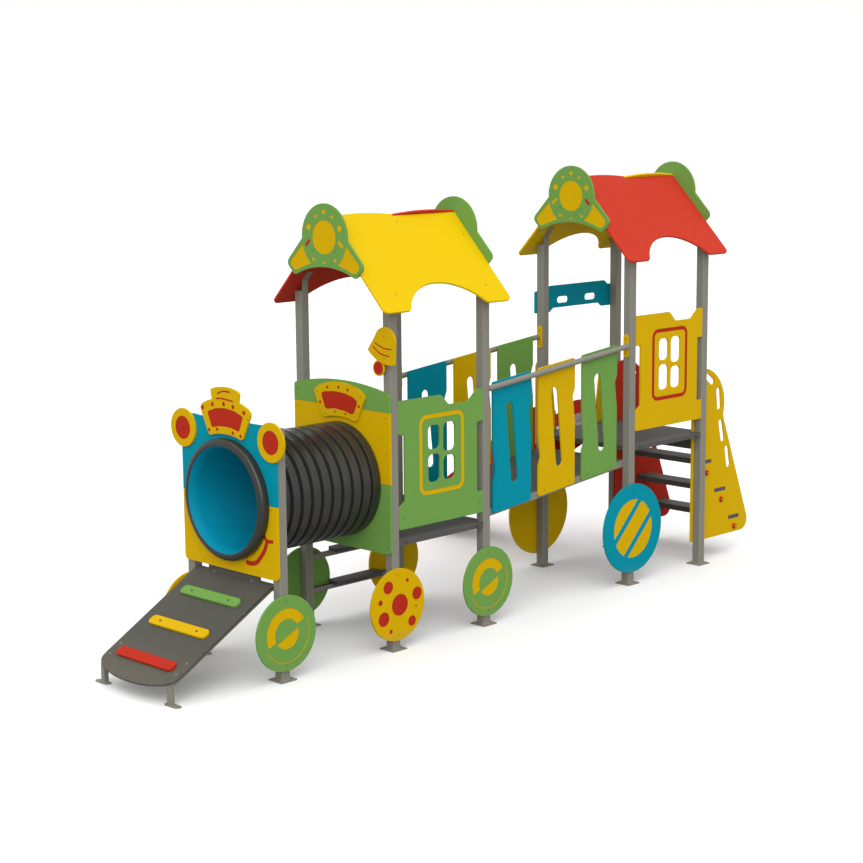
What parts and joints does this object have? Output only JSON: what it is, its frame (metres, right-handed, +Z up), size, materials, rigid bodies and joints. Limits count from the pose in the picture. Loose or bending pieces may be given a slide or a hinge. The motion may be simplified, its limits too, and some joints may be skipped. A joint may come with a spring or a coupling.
{
  "type": "train play structure",
  "caption": "Playground train: crawl ramp and ribbed tunnel into a roofed cabin, sloping bridge to a higher cabin with stairs and slide, on steel posts with wheel-shaped boards.",
  "frame": {"origin": "centre of the underside of the near front post's foot plate, at ground level", "axes": "+X along the train from the locomotive face to the stairs, +Y from the near row of posts to the far row where the slide leaves, +Z up"},
  "size_m": [6.9842, 3.2317, 3.695],
  "materials": {
    "steel_post": "grey powder coat, satin",
    "deck_steel": "dark grey rubberised coating, matt, fine grain",
    "ramp_board": "dark grey anti-slip board, matt",
    "green_board": "green sheet plastic, satin, fine orange-peel",
    "yellow_board": "yellow sheet plastic, satin, fine orange-peel",
    "blue_board": "blue sheet plastic, satin, fine orange-peel",
    "red_board": "red sheet plastic, satin, fine orange-peel",
    "black_tunnel": "black moulded plastic, semi-gloss",
    "chute_steel": "brushed stainless sheet"
  },
  "bodies": {
    "root": {"arch_badge": "yellow_board", "arch_board_low": "green_board", "arch_board_middle": "yellow_board", "arch_board_top": "green_board", "bell": "yellow_board", "bridge_board_far_blue": "blue_board", "bridge_board_far_green": "green_board", "bridge_board_far_yellow": "yellow_board", "bridge_board_near_blue": "blue_board", "bridge_board_near_green": "green_board", "bridge_board_near_yellow": "yellow_board", "bridge_floor": "deck_steel", "crown_plate": "yellow_board", "deck_high": "deck_steel", "deck_low": "deck_steel", "far_step_high": "steel_post", "far_step_low": "steel_post", "front_cabin_gable_aft": "green_board", "front_cabin_gable_fore": "green_board", "front_panel_lower": "yellow_board", "front_panel_upper": "blue_board", "front_roof_far": "red_board", "front_roof_near": "yellow_board", "grab_board": "blue_board", "handrail_far": "steel_post", "handrail_near": "steel_post", "headlamp_far": "yellow_board", "headlamp_near": "yellow_board", "post_1_far": "steel_post", "post_1_near": "steel_post", "post_2_far": "steel_post", "post_2_near": "steel_post", "post_3_far": "steel_post", "post_3_near": "steel_post", "post_4_far": "steel_post", "post_4_near": "steel_post", "post_5_far": "steel_post", "post_5_near": "steel_post", "ramp_board": "ramp_board", "ramp_cleat_green": "green_board", "ramp_cleat_red": "red_board", "ramp_cleat_yellow": "yellow_board", "ramp_frame": "steel_post", "rear_cabin_gable_aft": "green_board", "rear_cabin_gable_fore": "green_board", "rear_roof_far": "yellow_board", "rear_roof_near": "red_board", "slide_cheek_front": "red_board", "slide_cheek_rear": "red_board", "slide_chute": "chute_steel", "stair_board_far": "red_board", "stair_board_near": "yellow_board", "tunnel_mouth_ring": "black_tunnel", "tunnel_tube": "black_tunnel", "wheel_1": "green_board", "wheel_2": "yellow_board", "wheel_3": "green_board", "wheel_4": "blue_board", "window_panel_front": "green_board", "window_panel_rear": "yellow_board"}
  },
  "joints": []
}
